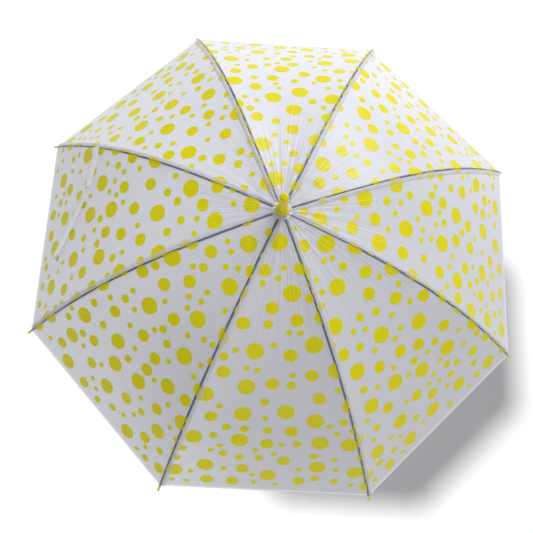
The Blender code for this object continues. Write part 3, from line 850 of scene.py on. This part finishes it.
class UMBRELLA_OT_ferrule(bpy.types.Operator):
    """Makes the ferrule and the gathered film and ruffled washer below it"""

    bl_idname = "umbrella.ferrule"
    bl_label = "Ferrule"

    def execute(self, context):
        yellow, double = yellow_material(context), double_material(context)
        base, top = 0.0050, 0.0700        # heights above the ribs' pivots
        r, bulb, edge, bore = 0.0077, 0.0122, 0.0040, 0.0044
        profile = [(0, top)]
        profile += [(q, z) for q, z in reversed(arc(r - edge, top - edge, edge, 0, 90, 8))]
        profile += [(r, top - 0.006), (r - 0.0001, 0.045), (r, 0.024), (r + 0.0001, 0.0175)]
        for k in range(17):
            a = radians(80 - 160 * k / 16)
            profile.append((r + (bulb - r) * cos(a), 0.0100 + 0.0050 * sin(a)))
        profile += [(bulb - 0.0028, base), (bore, base), (bore, 0.030), (0, 0.032)]
        spike = turned("ferrule_moulding", [(q, z + PIVOT_Z) for q, z in profile], yellow)
        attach(spike, "shaft")
        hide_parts("ferrule")
        self.ruffle("film_gather", double, "film_crown",
                    radius=0.0155, height=0.00255, depth=0.0006, folds=24, seed=3)
        clear = frosted_film(context.scene.umbrella_plastic.washer, "Ruffled clear vinyl", 0.62, 0.15)
        self.ruffle("ruffled_washer", clear, "film_washer",
                    radius=0.0172, height=0.00400, depth=0.0011, folds=11, seed=8)
        return {"FINISHED"}

    def ruffle(self, name, finish, node_name, radius, height, depth, folds, seed):
        """A thin disc round the shaft, gathered into folds that deepen outwards."""
        around, rings, thick, bore = 144, 10, 0.00025, 0.0046
        points = []
        for side in (1, -1):
            order = range(rings + 1) if side > 0 else range(rings, -1, -1)
            for ring in order:
                share = ring / rings
                r = bore + (radius - bore) * share
                for k in range(around):
                    a = 2 * pi * k / around
                    uneven = noise.noise(Vector((cos(a) * 2 + seed, sin(a) * 2, 0)))
                    lift = depth * share * sin(folds * a + 2.2 * uneven) * (0.75 + 0.6 * uneven)
                    reach = r * (1 + 0.05 * share * noise.noise(Vector((cos(a) * 3, sin(a) * 3, seed))))
                    points.append((reach * cos(a), reach * sin(a),
                                   PIVOT_Z + height + lift + side * thick / 2 - 0.0009 * share * share))
        rows = 2 * (rings + 1)
        faces = tube_faces(rows, around, closed_ends=False)
        faces += [((rows - 1) * around + k, (rows - 1) * around + (k + 1) % around, (k + 1) % around, k)
                  for k in range(around)]
        made = shared(name, points, faces, finish, 60)
        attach(made, "shaft")
        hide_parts(node_name)


class UMBRELLA_OT_strap(bpy.types.Operator):
    """Makes the closing strap and its two snaps"""

    bl_idname = "umbrella.strap"
    bl_label = "Strap"

    def execute(self, context):
        canopy = context.scene.umbrella_canopy
        plastic = context.scene.umbrella_plastic
        full = plastic.strap_width
        gore, steps, layers = STRAP_RIB - 1, 70, 6
        centres = [Vector(self.middle(gore, k / steps, canopy)) for k in range(steps + 1)]
        points, coordinates = [], []
        for k, centre in enumerate(centres):
            u = k / steps
            ahead = (centres[min(k + 1, steps)] - centres[max(k - 1, 0)]).normalized()
            s, t = self.path(u)
            normal = above_film(gore, s, t, canopy).normalized()
            across = normal.cross(ahead).normalized()
            pinch = np.exp(-((u - TWIST) / 0.035) ** 2)
            width = full * (1.12 if u < 0.36 else 0.95) * (1 - 0.35 * pinch)
            if u > 0.90:
                width = full * 1.12
            width *= min(1.0, 0.35 + 0.65 * sqrt(max(0.0, (1 - u) / 0.02)))
            roll = radians(3) * sin(9 * u) * (u > 0.02) + radians(60) * pinch
            lean = across * cos(roll) + normal * sin(roll)
            for j in range(layers + 1):
                v = j / layers - 0.5
                curl = normal * (0.0006 * (2 * v) ** 2 + 0.0010 * pinch)
                points.append(centre + lean * v * width + curl)
                coordinates.append((gore + t + v * 0.05, s / RIB_LENGTH))
        faces = tube_faces(steps + 1, layers + 1, closed_ends=False, looped=False)
        strap = piece("closing_strap", points, faces, strap_material(plastic.strap))
        finish_film(strap, coordinates)
        follow_fold(strap, STRAP_RIB, "b")
        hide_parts("strap")
        for name, u, radius, stands_for in (("snap_button", 0.95, 0.0066, "snap_cap"),
                                            ("snap_seat", TWIST, 0.0044, "snap_socket")):
            self.snap(context, gore, name, u, radius, stands_for, canopy)
        return {"FINISHED"}

    def path(self, u):
        return (STRAP_FROM + (STRAP_TO - STRAP_FROM) * u * u,
                STRAP_START + (STRAP_REACH - STRAP_START) * u)

    def middle(self, gore, u, canopy):
        """The strap's middle line: it starts over the rib and lies slightly loose on the film."""
        s, t = self.path(u)
        loose = 0.0020 + 0.0010 * sin(pi * min(1.0, u * 1.1)) + 0.0006 * noise.noise(Vector((u * 7, 2, 0)))
        if u < 0.03:
            t = STRAP_START - 0.035 + (STRAP_START + 0.035) * u / 0.03
        return film_at(gore, s, max(0.0, t), loose, canopy)

    def snap(self, context, gore, name, u, radius, stands_for, canopy):
        """A moulded press snap on the strap's outer face."""
        s, t = self.path(u)
        foot = Vector(film_at(gore, s, t, 0.0032, canopy))
        above = above_film(gore, s, t, canopy)
        h, r = 0.0022, radius
        profile = [(0, h), (r * 0.42, h), (r * 0.52, h * 0.9), (r * 0.60, h * 0.70), (r * 0.85, h * 0.60),
                   (r * 0.96, h * 0.45), (r, h * 0.2), (r * 0.98, 0), (0, 0)]
        made = turned(name, profile, white_material(context), 32)
        made.data.transform(Matrix.Translation(foot) @ above.to_track_quat("Z", "Y").to_matrix().to_4x4())
        follow_fold(made, STRAP_RIB, "b")
        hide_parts(stands_for)


class UMBRELLA_OT_shaft(bpy.types.Operator):
    """Finishes the shaft, the notch, its wire, the stop ring and the runner"""

    bl_idname = "umbrella.shaft"
    bl_label = "Shaft and runner"

    def execute(self, context):
        tube, white = tube_material(context), white_material(context)
        carried("shaft_tube", tube)
        carried("notch_wire", tube)
        carried("stop_ring", tube)
        carried("top_notch", white, 0.0002)
        carried("runner", white, 0.0002)
        return {"FINISHED"}


class UMBRELLA_OT_handle(bpy.types.Operator):
    """Makes the crook handle and finishes its cap, collar and button"""

    bl_idname = "umbrella.handle"
    bl_label = "Handle"

    def execute(self, context):
        yellow, white = yellow_material(context), white_material(context)
        around = 40
        sections = [(Vector((0, 0, GRIP_LENGTH / 2 - 0.0003)), pi, GRIP_RADIUS - 0.0008),
                    (Vector((0, 0, GRIP_LENGTH / 2 - 0.0011)), pi, GRIP_RADIUS)]
        for k in range(49):
            a = pi + pi * k / 48
            centre = Vector((CROOK_RADIUS * (1 + cos(a)), 0, -GRIP_LENGTH / 2 + CROOK_RADIUS * sin(a)))
            sections.append((centre, a, GRIP_RADIUS))
        high = -GRIP_LENGTH / 2 + CROOK_RISE
        sections.append((Vector((2 * CROOK_RADIUS, 0, high - 0.0008)), 2 * pi, GRIP_RADIUS))
        sections.append((Vector((2 * CROOK_RADIUS, 0, high)), 2 * pi, GRIP_RADIUS - 0.0004))
        points = []
        for centre, a, radius in sections:
            out = Vector((cos(a), 0, sin(a)))
            for k in range(around):
                b = 2 * pi * k / around
                points.append(centre + out * radius * cos(b) + Vector((0, radius * sin(b), 0)))
        crook = shared("crook_grip", points, tube_faces(len(sections), around), yellow)
        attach(crook, "shaft")
        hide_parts("crook_handle")
        carried("crook_cap", yellow, 0.0002)
        carried("handle_collar", yellow, 0.0003)
        carried("push_button", white)
        return {"FINISHED"}


class UMBRELLA_OT_stage(bpy.types.Operator):
    """Lays the pale floor, sets the soft lights and places the camera"""

    bl_idname = "umbrella.stage"
    bl_label = "Stage"

    def execute(self, context):
        settings = context.scene.umbrella_stage
        low = -GRIP_LENGTH / 2 - CROOK_RADIUS - GRIP_RADIUS - 0.0005
        reach = 40.0
        corners = [(-reach, -reach, low), (reach, -reach, low), (reach, reach, low), (-reach, reach, low)]
        paper, tree, out = material("Matt white paper sweep")
        sheet = node(tree, "ShaderNodeBsdfPrincipled",
                     inputs={"Base Color": linear(settings.floor), "Roughness": 0.9})
        tree.links.new(sheet.outputs[0], out.inputs[0])
        floor = piece("floor", corners, [(0, 1, 2, 3)], paper, smooth=False)
        turn = Euler(settings.camera_turn).to_matrix()
        right, up, back = turn.col[0], turn.col[1], turn.col[2]
        aim = Vector((0, 0, PIVOT_Z - 0.15))
        # A far lamp lights the sweep and throws the soft shadow; the boxes only shape the umbrella.
        sweep = bpy.data.collections.new("sweep")
        sweep.objects.link(floor)
        others = bpy.data.collections.new("all but the sweep")
        others.objects.link(floor)
        others.collection_objects[0].light_linking.link_state = "EXCLUDE"
        far = bpy.data.lights.new("far_lamp", "SUN")
        far.angle = 0.17
        far.energy = 2.75
        self.hang(context, far, aim, back * 0.84 + up * 0.38 - right * 0.39, 4.0, sweep)
        boxes = (
            ("top_soft", back * 0.44 + up * 0.80 + right * 0.38, 1.8, 76.0, (0.96, 0.95, 1.0)),
            ("low_soft", back * 0.58 - up * 0.72 + right * 0.30, 1.8, 17.0, (1.0, 0.985, 0.955)),
        )
        for name, direction, size, power, colour in boxes:
            lamp = bpy.data.lights.new(name, "AREA")
            lamp.shape = "DISK"
            lamp.size = size
            lamp.energy = power
            lamp.color = colour
            self.hang(context, lamp, aim, direction, 3.0, others)
        world = bpy.data.worlds.new("studio")
        world.use_nodes = True
        sky = world.node_tree.nodes["Background"]
        sky.inputs["Color"].default_value = (0.955, 0.96, 1.0, 1)
        sky.inputs["Strength"].default_value = 0.34
        context.scene.world = world
        view = bpy.data.cameras.new("camera")
        view.lens = settings.lens
        view.sensor_width = 36
        view.clip_start = 0.05
        eye = bpy.data.objects.new("camera", view)
        eye.location = settings.camera_at
        eye.rotation_euler = settings.camera_turn
        context.scene.collection.objects.link(eye)
        context.scene.camera = eye
        context.scene.view_settings.view_transform = "Standard"
        return {"FINISHED"}

    def hang(self, context, lamp, aim, direction, distance, lit):
        """Hangs a lamp that far from the aim, facing it, and lets it reach only what is in `lit`."""
        holder = bpy.data.objects.new(lamp.name, lamp)
        context.scene.collection.objects.link(holder)
        holder.location = aim + direction.normalized() * distance
        holder.rotation_euler = direction.to_track_quat("Z", "Y").to_euler()
        holder.light_linking.receiver_collection = lit


OPERATORS = (
    UMBRELLA_OT_shaft, UMBRELLA_OT_handle, UMBRELLA_OT_ribs, UMBRELLA_OT_stretchers, UMBRELLA_OT_tips,
    UMBRELLA_OT_ferrule, UMBRELLA_OT_canopy, UMBRELLA_OT_dots, UMBRELLA_OT_strap, UMBRELLA_OT_stage,
)


class UMBRELLA_PT_panel(bpy.types.Panel):
    """Lists the pieces of the umbrella"""

    bl_label = "Umbrella"
    bl_idname = "UMBRELLA_PT_panel"
    bl_space_type = "VIEW_3D"
    bl_region_type = "UI"
    bl_category = "Umbrella"

    def draw(self, context):
        for operator in OPERATORS:
            self.layout.operator(operator.bl_idname)


def register():
    for group in GROUPS.values():
        bpy.utils.register_class(group)
    for name, group in GROUPS.items():
        setattr(bpy.types.Scene, name, PointerProperty(type=group))
    for operator in OPERATORS:
        bpy.utils.register_class(operator)
    bpy.utils.register_class(UMBRELLA_PT_panel)


def unregister():
    bpy.utils.unregister_class(UMBRELLA_PT_panel)
    for operator in reversed(OPERATORS):
        bpy.utils.unregister_class(operator)
    for name, group in GROUPS.items():
        delattr(bpy.types.Scene, name)
        bpy.utils.unregister_class(group)


def main():
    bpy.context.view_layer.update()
    register()
    for operator in OPERATORS:
        group, name = operator.bl_idname.split(".")
        getattr(getattr(bpy.ops, group), name)()


if __name__ == "__main__":
    main()
